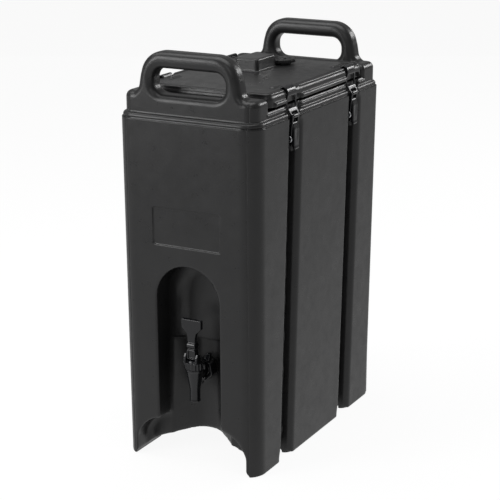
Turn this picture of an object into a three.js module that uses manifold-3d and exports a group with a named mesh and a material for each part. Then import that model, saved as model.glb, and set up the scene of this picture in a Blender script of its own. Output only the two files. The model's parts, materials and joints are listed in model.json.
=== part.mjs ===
// Insulated beverage dispenser: rotomoulded body with foam and tank, lift-off lid, four draw latches, faucet.
// Millimetres. X to the right, Y to the back (the faucet faces -Y), Z up.
// Origin: centre of the footprint on the surface that the dispenser stands on.
import * as THREE from 'three';
import { mergeVertices } from 'three/addons/utils/BufferGeometryUtils.js';
import Module from 'manifold-3d';

// ---------- driving dimensions ----------
const WIDTH = 229;              // overall, across the sides
const DEPTH = 419;              // overall, front to back
const HEIGHT = 616;             // to the top of the handles
const SHOULDER_Z = 522;         // top of the tapered body
const RIM_Z = 537;              // top of the neck, under the lid
const BLOCK_Z = 556;            // top of the end blocks that carry the handles
const LID_Z = 560;              // top edge of the lid
const TAPER_SIDE = 2.1;         // how much each side draws in at the bottom
const TAPER_FRONT = 7.1;
const TAPER_REAR = 14;
const CORNER_FRONT = 27;        // vertical corner radii
const CORNER_REAR = 20;
const NECK_INSET = 8.5;         // neck set back from the shoulder
const NECK_CORNER = 18;
const WALL = 4;                 // moulded skin
const GAP = 0.3;                // between touching pieces
const PIN_GAP = 0.35;           // round a pin, radially

const HALF_W = WIDTH / 2;
const HALF_D = DEPTH / 2;
const NECK_X = HALF_W - NECK_INSET;
const NECK_Y = HALF_D - 9;
const LID_HALF_Y = 156.5;       // lid, front to back
const BLOCK_Y = 158;            // inner face of the end blocks

const HANDLE = { halfFoot: 84, halfTop: 78, cornerR: 37, barDepth: 30, edgeR: 9, y: 184.5,
  holeHalf: 58, holeLow: 557, holeHigh: 592, holeR: 16 };
const GROOVE = { width: 35, depth: 13, lean: 20, draft: 3, topZ: 519 };
const GROOVE_Y = [-90, 111];    // groove centres at the shoulder
const RECESS = { halfWidth: 52, springZ: 257, upperY: -150, ledgeZ: 183, lowerY: -141, lowerHalf: 18,
  shoulderY: -168 };
const PLATE = { halfWidth: 55.5, low: 337.5, high: 393.8, depth: 2 };
const POCKET = { halfWidth: 93, height: 66, wallY: 168 };
const TUNNEL = { halfWidth: 97, height: 38 };

const TANK = { halfX: 75.5, frontY: -118, rearY: 160, baseZ: 84, upperFrontY: -168, stepZ: 322, corner: 28,
  wall: 3.5, flangeT: 5, mouthY: 148, mouthR: 24 };
const LID = { skirtZ: 538, edgeR: 9, cornerR: 11, plugZ: 517, flangeZ: 540.5, flangeT: 3, panWall: 3 };
const LID_BLOCK = { x0: -37, x1: 3, y0: 5, y1: 65, top: 579 };
const VENT = { x: 0, y: 91, capR: 21, capLow: 562.5, capTop: 568, stemR: 6, boreR: 9, bushR: 8.7,
  bushLow: 516, collarR: 14, collarTop: 562, sealR: 10 };

const LATCH = { pivotX: 107, pivotZ: 511, linkX: 109.5, linkZ: 488, pinR: 2, linkR: 2.5, barrelR: 4.6,
  hookHalf: 12.6, leverHalf: 7, slotHalf: 7.4, cover: 6.6, clearance: 0.5 };
const FAUCET = { y: -186, axisZ: 139, shankR: 8, shankBore: 5, stubR: 9, stubEndY: -158, capR: 14.6,
  capLow: 149.5, capTop: 160, spoutZ: 98, spoutR: 7.8, coneR: 13.5, neckR: 11, pivotY: -193, pivotZ: 170,
  pinR: 1.6, flangeY: -148, flangeT: 3.4, washerT: 3 };
const NUT = { frontY: -164.5, backY: -148.3, ringR: 17.5, lipT: 3.1, wingR: 27, wingFoot: 14, turn: 17 };
const STEM = { radius: 1.8, low: 126.3, neck: 165.5, headR: 2.8, top: 169 };
const CUP = { low: 122.5, tipR: 5.9, rimR: 7.3, top: 134.5 };
const PADDLE = { halfHigh: 16.5, halfNeck: 6.4, halfFoot: 6, low: 165, neckZ: 199, flareZ: 206, wideZ: 214,
  top: 227, halfT: 3.5, heelTop: 179, slotHalf: 3.8, slotTop: 175 };
const SHANK = { flangeR: 13, backY: -104 };
const TANK_NUT = { radius: 14, frontY: -111.4, backY: -105.4 };
const EAR = { innerX: 6.6, thick: 2.9 };

// ---------- solids ----------
const wasm = await Module();
wasm.setup();

// Merged vertices, with every face turned outwards whichever way the profile was drawn.
function outward(geometry) {
  const bare = geometry.clone();
  bare.deleteAttribute('normal');
  bare.deleteAttribute('uv');
  const merged = mergeVertices(bare, 1e-4);
  const index = merged.index.array;
  const corner = [0, 1, 2].map(() => new THREE.Vector3());
  const triangles = [];
  let volume = 0;
  for (let i = 0; i < index.length; i += 3) {
    const [a, b, c] = [index[i], index[i + 1], index[i + 2]];
    if (a === b || b === c || c === a) continue;
    [a, b, c].forEach((v, k) => corner[k].fromBufferAttribute(merged.attributes.position, v));
    volume += corner[0].dot(corner[1].clone().cross(corner[2]));
    triangles.push([a, b, c]);
  }
  merged.setIndex(triangles.flatMap(([a, b, c]) => (volume < 0 ? [a, c, b] : [a, b, c])));
  merged.computeVertexNormals();
  return merged;
}

// A closed three.js geometry as a manifold solid.
function solid(geometry) {
  const merged = outward(geometry);
  const index = Uint32Array.from(merged.index.array);
  const points = Float32Array.from(merged.attributes.position.array);
  return new wasm.Manifold(new wasm.Mesh({ numProp: 3, vertProperties: points, triVerts: index }));
}

function geometryOf(body) {
  const mesh = body.asOriginal().simplify(0.04).getMesh();
  const geometry = new THREE.BufferGeometry();
  geometry.setAttribute('position', new THREE.BufferAttribute(Float32Array.from(mesh.vertProperties), 3));
  geometry.setIndex(new THREE.BufferAttribute(Uint32Array.from(mesh.triVerts), 1));
  geometry.computeVertexNormals();
  return geometry;
}

// Rounded rectangle in plan, with its own radius at the front (-Y) and back corners.
function plan(x0, x1, y0, y1, rFront, rBack = rFront) {
  const s = new THREE.Shape();
  s.moveTo(x0 + rFront, y0);
  s.lineTo(x1 - rFront, y0);
  s.absarc(x1 - rFront, y0 + rFront, rFront, -Math.PI / 2, 0, false);
  s.lineTo(x1, y1 - rBack);
  s.absarc(x1 - rBack, y1 - rBack, rBack, 0, Math.PI / 2, false);
  s.lineTo(x0 + rBack, y1);
  s.absarc(x0 + rBack, y1 - rBack, rBack, Math.PI / 2, Math.PI, false);
  s.lineTo(x0, y0 + rFront);
  s.absarc(x0 + rFront, y0 + rFront, rFront, Math.PI, 1.5 * Math.PI, false);
  return s;
}

// A plan shape raised from z0 to z1, with optional rounded top and bottom edges.
function raise(shape, z0, z1, edge = 0, curveSegments = 5, edgeSegments = 3) {
  const geometry = new THREE.ExtrudeGeometry(shape, {
    depth: z1 - z0 - 2 * edge, curveSegments, bevelEnabled: edge > 0, bevelThickness: edge,
    bevelSize: edge, bevelOffset: -edge, bevelSegments: edgeSegments,
  });
  geometry.translate(0, 0, z0 + edge);
  return geometry;
}

// A front-view shape (x, z) run from y0 back to y1.
function runBack(shape, y0, y1, edge = 0, curveSegments = 5, edgeSegments = 3) {
  const geometry = raise(shape, -y1, -y0, edge, curveSegments, edgeSegments);
  geometry.rotateX(Math.PI / 2);
  return geometry;
}

// A side-view shape (x, z) centred on y = 0, of a given width.
const acrossY = (shape, width, edge = 0, curveSegments = 6) =>
  runBack(shape, -width / 2, width / 2, edge, curveSegments, 2);

function outline(points) {
  return new THREE.Shape(points.map(([a, b]) => new THREE.Vector2(a, b)));
}

function turned(profile, segments = 18) {
  return new THREE.LatheGeometry(profile.map(([r, h]) => new THREE.Vector2(r, h)), segments)
    .rotateX(Math.PI / 2);
}

// Round bar along Y.
function barY(radius, y0, y1, x, z, segments = 10) {
  return new THREE.CylinderGeometry(radius, radius, y1 - y0, segments).translate(x, (y0 + y1) / 2, z);
}

const box = (x0, x1, y0, y1, z0, z1) => new THREE.BoxGeometry(x1 - x0, y1 - y0, z1 - z0)
  .translate((x0 + x1) / 2, (y0 + y1) / 2, (z0 + z1) / 2);

// The draw-in of the body towards its base.
function taper(geometry) {
  const p = geometry.attributes.position;
  for (let i = 0; i < p.count; i += 1) {
    const t = Math.max(0, 1 - p.getZ(i) / SHOULDER_Z);
    const y = p.getY(i);
    p.setX(i, p.getX(i) * (1 - (TAPER_SIDE / HALF_W) * t));
    p.setY(i, y * (1 - ((y < 0 ? TAPER_FRONT : TAPER_REAR) / HALF_D) * t));
  }
  return geometry;
}

// ---------- body envelope, offset inwards by `inset` ----------
function bodyBlock(inset, z0, z1, edge) {
  return solid(taper(raise(plan(-HALF_W + inset, HALF_W - inset, -HALF_D + inset, HALF_D - inset,
    CORNER_FRONT - inset, CORNER_REAR - inset), z0, z1, edge, 4, 2)));
}

function neckBlock(inset, z0, z1) {
  return solid(raise(plan(-NECK_X + inset, NECK_X - inset, -NECK_Y + inset, NECK_Y - inset,
    NECK_CORNER - inset),
    z0, z1, 0, 5));
}

function endBlock() {
  return solid(raise(plan(-NECK_X, NECK_X, -NECK_Y, -BLOCK_Y, NECK_CORNER, 7), SHOULDER_Z - 12, BLOCK_Z,
    4, 5, 2));
}

// Front handle: legs and bar in one rounded loop, with the finger gap through it.
function handle() {
  const h = HANDLE;
  const s = new THREE.Shape();
  s.moveTo(-h.halfFoot, SHOULDER_Z + 8);
  s.lineTo(h.halfFoot, SHOULDER_Z + 8);
  s.lineTo(h.halfTop, HEIGHT - h.cornerR);
  s.absarc(h.halfTop - h.cornerR, HEIGHT - h.cornerR, h.cornerR, 0, Math.PI / 2, false);
  s.lineTo(-h.halfTop + h.cornerR, HEIGHT);
  s.absarc(-h.halfTop + h.cornerR, HEIGHT - h.cornerR, h.cornerR, Math.PI / 2, Math.PI, false);
  const hole = plan(-h.holeHalf, h.holeHalf, h.holeLow, h.holeHigh, h.holeR);
  s.holes.push(new THREE.Path(hole.getPoints(3)));
  return solid(runBack(s, -h.y - h.barDepth / 2, -h.y + h.barDepth / 2, h.edgeR, 4, 2));
}

// Leaning side groove on the +X side, open outwards; `grow` widens it for the skin behind.
function groove(y, floor, grow, topZ) {
  const half = GROOVE.width / 2 + grow;
  const section = outline([[floor, GROOVE.draft - half], [HALF_W + 20, -half - GROOVE.draft],
    [HALF_W + 20, half + GROOVE.draft], [floor, half - GROOVE.draft]]);
  const geometry = raise(section, -20, topZ);
  const p = geometry.attributes.position;
  for (let i = 0; i < p.count; i += 1) {
    p.setY(i, p.getY(i) + y - GROOVE.lean * (1 - p.getZ(i) / SHOULDER_Z));
  }
  return solid(geometry);
}

function grooves(grow) {
  const list = [];
  for (const y of GROOVE_Y) {
    const one = groove(y, HALF_W - GROOVE.depth - grow, grow, GROOVE.topZ + grow);
    const notch = groove(y, NECK_X, grow, SHOULDER_Z + 5);
    list.push(one, one.mirror([1, 0, 0]), notch, notch.mirror([1, 0, 0]));
  }
  return list;
}

// Faucet recess: an arched upper part and a deeper, three-sided lower part.
function recess(grow) {
  const r = RECESS;
  const w = r.halfWidth + grow;
  const arch = new THREE.Shape();
  arch.moveTo(-w, r.ledgeZ - 3);
  arch.lineTo(w, r.ledgeZ - 3);
  arch.lineTo(w, r.springZ);
  arch.absarc(0, r.springZ, w, 0, Math.PI, false);
  const upper = solid(runBack(arch, -HALF_D - 20, r.upperY + grow, 0, 5));
  const foot = outline([[-w, -HALF_D - 20], [w, -HALF_D - 20], [w, r.shoulderY + grow],
    [r.lowerHalf + grow / 2, r.lowerY + grow], [-r.lowerHalf - grow / 2, r.lowerY + grow],
    [-w, r.shoulderY + grow]]);
  return upper.add(solid(raise(foot, -20, r.ledgeZ + grow)));
}

// Finger pocket under the front edge (the back one is its mirror image).
function pocket(grow) {
  const w = POCKET.halfWidth + grow;
  const s = new THREE.Shape();
  s.moveTo(-w, -20);
  s.lineTo(w, -20);
  s.lineTo(w - 3, 22);
  s.bezierCurveTo(w - 6, 50, w - 24, POCKET.height + grow, w - 48, POCKET.height + grow);
  s.lineTo(-w + 48, POCKET.height + grow);
  s.bezierCurveTo(-w + 24, POCKET.height + grow, -w + 6, 50, -w + 3, 22);
  return solid(runBack(s, -HALF_D - 20, -POCKET.wallY + grow, 0, 4));
}

// Shallow arched tunnel between the two side skirts, open at front and back.
function tunnel(grow) {
  const w = TUNNEL.halfWidth + grow;
  const h = TUNNEL.height + grow;
  const s = new THREE.Shape();
  s.moveTo(-w, -20);
  s.lineTo(w, -20);
  s.lineTo(w, 0);
  s.bezierCurveTo(w - 12, h * 0.62, w - 45, h, 0, h);
  s.bezierCurveTo(-w + 45, h, -w + 12, h * 0.62, -w, 0);
  return solid(runBack(s, -HALF_D - 20, HALF_D + 20, 0, 4));
}

function undersides(grow) {
  const front = pocket(grow);
  return [tunnel(grow), front, front.mirror([0, 1, 0])];
}

const faucetHole = (radius) => solid(barY(radius, -HALF_D, TANK.frontY + 30, 0, FAUCET.axisZ, 14));

// Hinge pin seats, one across each groove.
const pinLength = GROOVE.width / 2 + 1.2;
function pinSeats(radius, extra) {
  const list = [];
  for (const y of GROOVE_Y) {
    for (const side of [-1, 1]) {
      list.push(solid(barY(radius, y - pinLength - extra, y + pinLength + extra, side * LATCH.pivotX,
        LATCH.pivotZ, 8)));
    }
  }
  return list;
}

function cut(body, tools) {
  return tools.reduce((rest, tool) => rest.subtract(tool), body);
}

// The space between skin and tank.
function hollow(inset) {
  const room = bodyBlock(inset, inset, SHOULDER_Z - inset, 3)
    .add(neckBlock(inset, SHOULDER_Z - 20, RIM_Z - inset));
  return cut(room, [...grooves(inset), recess(inset), ...undersides(inset)]);
}

function bodyShell() {
  const front = endBlock().add(handle());
  let body = bodyBlock(0, 0, SHOULDER_Z, 7).add(neckBlock(0, SHOULDER_Z - 12, RIM_Z));
  body = body.add(front).add(front.mirror([0, 1, 0]));
  const plate = solid(runBack(plan(-PLATE.halfWidth, PLATE.halfWidth, PLATE.low, PLATE.high, 4),
    -HALF_D - 10, -HALF_D + 2.5 + PLATE.depth, 0, 2));
  const mouthPlan = plan(-NECK_X + WALL, NECK_X - WALL, -BLOCK_Y, BLOCK_Y, 10);
  const mouth = solid(raise(mouthPlan, RIM_Z - 8, RIM_Z + 1));
  body = cut(body, [...grooves(0), recess(0), ...undersides(0), plate, hollow(WALL), mouth]);
  return cut(body, [faucetHole(FAUCET.shankR + GAP), ...pinSeats(LATCH.pinR + PIN_GAP, GAP)]);
}

// ---------- tank and insulation ----------
function tankBlock(inset, top) {
  const t = TANK;
  const x = t.halfX - inset;
  const r = t.corner - inset;
  const low = solid(raise(plan(-x, x, t.frontY + inset, t.rearY - inset, r), t.baseZ + inset, top, 0, 5));
  const highPlan = plan(-x, x, t.upperFrontY + inset, t.rearY - inset, r);
  const high = solid(raise(highPlan, t.stepZ + inset, top, 0, 5));
  return low.add(high);
}

function tankFlange(inset) {
  return solid(raise(plan(-NECK_X + WALL + inset, NECK_X - WALL - inset, -BLOCK_Y + inset, BLOCK_Y - inset, 10),
    RIM_Z - TANK.flangeT, RIM_Z, 0, 3));
}

// Outline of the tank's mouth, drawn in by `inset`.
const plugPlan = (inset) => plan(-TANK.halfX + TANK.wall + inset, TANK.halfX - TANK.wall - inset,
  -TANK.mouthY + inset, TANK.mouthY - inset, TANK.mouthR - inset);

// The tank's mouth is shorter than the tank: the flange closes over its front bay.
function innerTank() {
  const mouth = solid(raise(plugPlan(0), RIM_Z - 20, RIM_Z + 1, 0, 5));
  const walls = tankBlock(0, RIM_Z - TANK.flangeT).add(tankFlange(GAP));
  const room = tankBlock(TANK.wall, RIM_Z - TANK.flangeT - TANK.wall);
  return cut(walls, [room, mouth, faucetHole(FAUCET.shankR + GAP)]);
}

function foamCore() {
  const above = solid(box(-NECK_X, NECK_X, -NECK_Y, NECK_Y, RIM_Z - TANK.flangeT - GAP, RIM_Z + 10));
  return cut(hollow(WALL + GAP), [tankBlock(-GAP, RIM_Z), above, faucetHole(FAUCET.shankR + GAP)]);
}

// ---------- lid ----------
const PLUG_GAP = 1.5;           // between the lid's plug and the tank's mouth

function raisedBlock(inset) {
  const b = LID_BLOCK;
  return solid(raise(plan(b.x0 + inset, b.x1 - inset, b.y0 + inset, b.y1 - inset, 6 - inset / 2),
    LID_Z - WALL - 2, b.top - inset, 2, 3, 2));
}

const ventHole = (radius) => solid(turned([[0, 500], [radius, 500], [radius, 600], [0, 600]])
  .translate(VENT.x, VENT.y, 0));

function lidShell() {
  const block = plan(-NECK_X, NECK_X, -LID_HALF_Y, LID_HALF_Y, LID.cornerR);
  const outer = solid(raise(block, LID.skirtZ - LID.edgeR, LID_Z, LID.edgeR, 4, 3))
    .subtract(solid(box(-HALF_W, HALF_W, -HALF_D, HALF_D, 0, LID.skirtZ)));
  const inner = solid(raise(plan(-NECK_X + WALL, NECK_X - WALL, -LID_HALF_Y + WALL, LID_HALF_Y - WALL, 7),
    LID.skirtZ - 5, LID_Z - WALL, 3, 3, 2));
  return cut(outer.add(raisedBlock(0)), [inner, raisedBlock(WALL), ventHole(VENT.boreR)]);
}

function lidLiner() {
  const x = NECK_X - WALL - GAP;
  const y = LID_HALF_Y - WALL - GAP;
  const flange = solid(raise(plan(-x, x, -y, y, 6), LID.flangeZ, LID.flangeZ + LID.flangeT, 0, 3));
  const plug = solid(raise(plugPlan(PLUG_GAP), LID.plugZ, LID.flangeZ + 1, 0, 5));
  const pan = solid(raise(plugPlan(PLUG_GAP + LID.panWall), LID.plugZ + LID.panWall, LID_Z, 0, 5));
  return cut(flange.add(plug), [pan, ventHole(VENT.boreR)]);
}

function lidFoam() {
  const x = NECK_X - WALL - 2 * GAP;
  const y = LID_HALF_Y - WALL - 2 * GAP;
  const low = LID.flangeZ + LID.flangeT + GAP;
  const slab = solid(raise(plan(-x, x, -y, y, 6), low, LID_Z - WALL - GAP, 3, 3, 2));
  const fill = solid(raise(plugPlan(PLUG_GAP + LID.panWall + GAP), LID.plugZ + LID.panWall + GAP,
    LID.flangeZ + 9, 0, 5));
  return cut(slab.add(fill), [ventHole(VENT.boreR)]);
}

function lidGasket() {
  const outer = solid(raise(plugPlan(-4), RIM_Z + GAP, LID.flangeZ - GAP, 0, 4));
  return outer.subtract(solid(raise(plugPlan(-1), RIM_Z - 5, LID.flangeZ + 5, 0, 5)));
}

// Bushing through the lid, with a collar that stands on the lid's top.
function ventBushing() {
  const v = VENT;
  const bore = v.stemR + 0.5;
  return turned([[bore, v.bushLow], [v.bushR, v.bushLow], [v.bushR, LID_Z + GAP], [v.collarR, LID_Z + GAP],
    [v.collarR, v.collarTop], [bore, v.collarTop], [bore, v.bushLow]]);
}

// Cap and stem in one; the bulb at the stem's foot stops the cap from coming out.
function ventCap() {
  const v = VENT;
  const seat = v.collarTop + 2 * GAP + 2;
  return turned([[0, v.bushLow - 16], [v.stemR + 1.2, v.bushLow - 16], [v.stemR + 1.2, v.bushLow - 12],
    [v.stemR, v.bushLow - 10], [v.stemR, seat], [v.sealR + 1, seat], [v.sealR + 1, v.capLow],
    [v.capR - 1.5, v.capLow], [v.capR, v.capLow + 1.5], [v.capR, v.capTop - 2], [v.capR - 2, v.capTop],
    [0, v.capTop + 0.8]], 20);
}

function ventSeal() {
  const v = VENT;
  const low = v.collarTop + GAP;
  const bore = v.stemR + GAP;
  return turned([[bore, low], [v.sealR, low], [v.sealR, low + 2], [bore, low + 2], [bore, low]]);
}

// ---------- latches: +X side, about y = 0 ----------
const pinBore = (radius, x, z) => solid(barY(radius + PIN_GAP, -30, 30, x, z));

function latchLever() {
  const l = LATCH;
  const width = 2 * l.leverHalf;
  const arm = outline([[l.pivotX - 3.4, l.pivotZ], [l.linkX - 4, l.linkZ], [105.5, 480], [107, 473],
    [111.5, 469], [115.5, 468.5], [116.5, 471], [112.8, 474.5], [l.linkX + 3.6, 481], [l.linkX + 4, l.linkZ],
    [l.pivotX + 4, l.pivotZ]]);
  const barrel = (x, z) => solid(barY(l.barrelR, -l.leverHalf, l.leverHalf, x, z));
  const body = solid(acrossY(arm, width)).add(barrel(l.pivotX, l.pivotZ)).add(barrel(l.linkX, l.linkZ));
  return geometryOf(cut(body, [pinBore(l.pinR, l.pivotX, l.pivotZ), pinBore(l.linkR, l.linkX, l.linkZ)]));
}

// Forked link that runs up over the lid's rounded edge and hooks its nose on it.
function latchHook() {
  const l = LATCH;
  const cx = NECK_X - LID.edgeR;
  const cz = LID_Z - LID.edgeR;
  const reach = LID.edgeR + l.clearance;
  const onEdge = (degrees) => [cx + reach * Math.cos(degrees * Math.PI / 180),
    cz + reach * Math.sin(degrees * Math.PI / 180)];
  const tip = Math.acos((LID.edgeR - l.cover) / reach) * 180 / Math.PI;
  const side = outline([[l.linkX - 3, l.linkZ], [l.linkX - 1.5, 494], [110.2, 501], [110.2, 547],
    [107.4, 552.5], onEdge(32), onEdge(54), onEdge(tip), [98.9, 561.6], [99.1, 564.6], [101, 566],
    [106, 565.2], [111.5, 561], [115.6, 552], [117.4, 538], [116.8, 520], [115, 500],
    [l.linkX + 4.4, l.linkZ]]);
  const body = solid(acrossY(side, 2 * l.hookHalf))
    .add(solid(barY(l.barrelR, -l.hookHalf, l.hookHalf, l.linkX, l.linkZ)));
  const slot = solid(box(80, 140, -l.slotHalf, l.slotHalf, 400, 549));
  return geometryOf(cut(body, [slot, pinBore(l.linkR, l.linkX, l.linkZ)]));
}

const latchHingePin = () => barY(LATCH.pinR, -pinLength, pinLength, LATCH.pivotX, LATCH.pivotZ, 8);

// Tubular pin, its ends flared outside the fork.
function latchLinkPin() {
  const l = LATCH;
  const inner = l.hookHalf + GAP;
  const end = inner + 1;
  const bore = 1.4;
  const flareR = 4.2;
  const profile = [[bore, -end], [flareR, -end], [flareR, -inner], [l.linkR, -inner], [l.linkR, inner],
    [flareR, inner], [flareR, end], [bore, end], [bore, -end]];
  return new THREE.LatheGeometry(profile.map(([r, h]) => new THREE.Vector2(r, h)), 8)
    .translate(l.linkX, 0, l.linkZ);
}

// ---------- faucet ----------
// Profile (radius, y) turned about the shank's axis.
function aboutShank(profile, segments = 18) {
  return new THREE.LatheGeometry(profile.map(([r, y]) => new THREE.Vector2(r, y)), segments)
    .translate(0, 0, FAUCET.axisZ);
}

// Profile (radius, z) turned about the spout's axis.
const aboutSpout = (profile, segments = 18) => turned(profile, segments).translate(0, FAUCET.y, 0);

function faucetBody() {
  const f = FAUCET;
  const neckTop = f.capLow + 6.5;
  const cone = solid(aboutSpout([[0, f.spoutZ], [f.spoutR, f.spoutZ], [f.spoutR, f.spoutZ + 19],
    [f.coneR, f.capLow - GAP], [f.neckR, f.capLow - GAP], [f.neckR, neckTop], [0, neckTop]]));
  const flange = f.stubEndY - 3;
  const stub = solid(aboutShank([[0, f.y], [f.stubR, f.y], [f.stubR, flange], [f.stubR + 1.5, flange],
    [f.stubR + 1.5, f.stubEndY], [0, f.stubEndY]]));
  const mouthR = f.spoutR - 2;
  const chamber = solid(aboutSpout([[0, f.spoutZ - 8], [mouthR, f.spoutZ - 8], [mouthR, f.spoutZ + 20],
    [7.6, 131], [9, 140], [9, neckTop + 9], [0, neckTop + 9]]));
  const way = solid(aboutShank([[0, f.y], [f.shankBore, f.y], [f.shankBore, -100], [0, -100]], 16));
  return geometryOf(cone.add(stub).subtract(chamber).subtract(way));
}

// Ribbed cap with the two ears that carry the lever.
function faucetBonnet() {
  const f = FAUCET;
  const ribs = 16;
  const ring = new THREE.Shape();
  for (let i = 0; i < 2 * ribs; i += 1) {
    const r = f.capR - (i % 2) * 1.2;
    const a = Math.PI * i / ribs;
    ring[i ? 'lineTo' : 'moveTo'](r * Math.cos(a), r * Math.sin(a));
  }
  const cap = solid(raise(ring, f.capLow, f.capTop).translate(0, f.y, 0));
  const bore = solid(aboutSpout([[0, 140], [f.neckR + GAP, 140], [f.neckR + GAP, 156 + GAP], [3, 156 + GAP],
    [3, 170], [0, 170]]));
  const ear = outline([[-5.5, f.capTop - 1], [12, f.capTop - 1], [4.5, f.pivotZ - 2], [3.5, f.pivotZ + 3],
    [-3.5, f.pivotZ + 3.5], [-5, f.pivotZ]]);
  const plate = raise(ear, 0, EAR.thick);
  plate.applyMatrix4(new THREE.Matrix4().set(0, 0, 1, EAR.innerX, 1, 0, 0, f.pivotY, 0, 1, 0, 0, 0, 0, 0, 1));
  const one = solid(plate);
  const body = cap.subtract(bore).add(one).add(one.mirror([1, 0, 0]));
  return geometryOf(body.subtract(solid(pivotBar(f.pinR + PIN_GAP, 12))));
}

const pivotBar = (radius, half) => new THREE.CylinderGeometry(radius, radius, 2 * half, 12)
  .rotateZ(Math.PI / 2).translate(0, FAUCET.pivotY, FAUCET.pivotZ);

function faucetLever() {
  const f = FAUCET;
  const p = PADDLE;
  const right = [[p.halfFoot, p.low], [p.halfNeck, p.neckZ], [p.halfNeck + 1.6, p.flareZ],
    [p.halfHigh, p.wideZ], [p.halfHigh, p.top]];
  const left = right.map(([x, z]) => [-x, z]).reverse();
  const paddle = solid(runBack(outline([...right, ...left]), f.pivotY - p.halfT, f.pivotY + p.halfT, 1, 5, 1));
  const heel = solid(box(-p.halfFoot, p.halfFoot, f.pivotY - 5, f.pivotY + 12, p.low - 0.5, p.heelTop));
  const slot = solid(box(-p.slotHalf, p.slotHalf, f.pivotY + 2.9, f.pivotY + 30, 160, p.slotTop));
  const pin = solid(pivotBar(f.pinR + PIN_GAP, 12));
  return geometryOf(cut(paddle.add(heel), [slot, pin]));
}

// Stem with a head that the lever's slot takes.
function faucetStem() {
  const m = STEM;
  return aboutSpout([[0, m.low], [m.radius, m.low], [m.radius, m.neck], [m.headR, m.neck], [m.headR, m.top],
    [0, m.top]], 12);
}

function faucetSeatCup() {
  const z = CUP.low;
  const stemBore = STEM.radius + GAP;
  return aboutSpout([[0, z], [CUP.tipR, z], [CUP.tipR + 0.9, z + 6.5], [CUP.rimR, z + 10.5],
    [stemBore, CUP.top], [stemBore, STEM.low - GAP], [0, STEM.low - GAP]], 16);
}

function faucetShank() {
  const f = FAUCET;
  const front = f.stubEndY + GAP;
  const flangeBack = f.flangeY + f.flangeT;
  return aboutShank([[f.shankBore, front], [f.shankR, front], [f.shankR, f.flangeY],
    [SHANK.flangeR, f.flangeY], [SHANK.flangeR, flangeBack], [f.shankR, flangeBack], [f.shankR, SHANK.backY],
    [f.shankBore, SHANK.backY], [f.shankBore, front]]);
}

// Nut that draws the stub's flange onto the shank; its two wings stand a little off the vertical.
function faucetWingNut() {
  const f = FAUCET;
  const n = NUT;
  const bore = f.stubR + GAP;
  const thread = f.shankR + PIN_GAP;
  const room = f.stubR + 1.9;
  const seat = n.frontY + n.lipT;
  const ring = solid(aboutShank([[bore, n.frontY], [n.ringR - 1.5, n.frontY], [n.ringR, n.frontY + 2],
    [n.ringR, n.backY - 2], [n.ringR - 1.5, n.backY], [thread, n.backY], [thread, f.stubEndY + 3 * GAP],
    [room, f.stubEndY + 3 * GAP], [room, seat], [bore, seat], [bore, n.frontY]]));
  const blade = outline([[-5, n.wingFoot], [5, n.wingFoot], [3, n.wingR], [-3, n.wingR]]);
  const wing = solid(runBack(blade, n.frontY + 4, n.backY - 4));
  const clear = solid(aboutShank([[0, -180], [15, -180], [15, -140], [0, -140]]).translate(0, 0, -f.axisZ));
  const arm = wing.subtract(clear);
  const placed = [n.turn, n.turn + 180].map((turn) => arm.rotate([0, turn, 0]).translate([0, 0, f.axisZ]));
  return geometryOf(ring.add(placed[0]).add(placed[1]));
}

const washerY = (radius, y0, y1) => aboutShank([[FAUCET.shankR + GAP, y0], [radius, y0], [radius, y1],
  [FAUCET.shankR + GAP, y1], [FAUCET.shankR + GAP, y0]]);

function faucetTankNut() {
  const f = FAUCET;
  const n = TANK_NUT;
  const profile = [[0, n.frontY], [n.radius, n.frontY], [n.radius, n.backY], [0, n.backY]];
  const hexagon = solid(aboutShank(profile, 6));
  return geometryOf(hexagon.subtract(faucetHole(f.shankR + PIN_GAP)));
}

// ---------- materials ----------
function material(color, roughness, metalness = 0) {
  return new THREE.MeshStandardMaterial({ color, roughness, metalness });
}

const charcoal = material(0x3b3b3d, 0.62);
const glossBlack = material(0x0c0c0f, 0.22);
const softBlack = material(0x1a1a1a, 0.8);
const foamCream = material(0xd9cf9f, 0.95);
const tankBlack = material(0x2c2c2e, 0.5);
const steel = material(0xb8bcc2, 0.25, 1);

// ---------- assembly ----------
const dispenser = new THREE.Group();

function put(name, geometry, surface, parent = dispenser) {
  const mesh = new THREE.Mesh(outward(geometry), surface);
  mesh.name = name;
  parent.add(mesh);
  return mesh;
}

put('body_shell', geometryOf(bodyShell()), charcoal);
put('foam_core', geometryOf(foamCore()), foamCream);
put('inner_tank', geometryOf(innerTank()), tankBlack);

put('lid_shell', geometryOf(lidShell()), charcoal);
put('lid_liner', geometryOf(lidLiner()), tankBlack);
put('lid_foam', geometryOf(lidFoam()), foamCream);
put('lid_gasket', geometryOf(lidGasket()), softBlack);

const vent = new THREE.Group();
vent.position.set(VENT.x, VENT.y, 0);
dispenser.add(vent);
put('vent_bushing', ventBushing(), glossBlack, vent);
put('vent_cap', ventCap(), charcoal, vent);
put('vent_seal', ventSeal(), softBlack, vent);

const corners = [['right', 0], ['left', Math.PI]];
for (const [side, turn] of corners) {
  GROOVE_Y.forEach((y, i) => {
    const tag = `${side}_${i ? 'rear' : 'front'}`;
    const group = new THREE.Group();
    group.position.set(0, y, 0);
    group.rotation.z = turn;
    dispenser.add(group);
    put(`latch_lever_${tag}`, latchLever(), glossBlack, group);
    put(`latch_hook_${tag}`, latchHook(), glossBlack, group);
    put(`latch_hinge_pin_${tag}`, latchHingePin(), steel, group);
    put(`latch_link_pin_${tag}`, latchLinkPin(), steel, group);
  });
}

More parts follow.
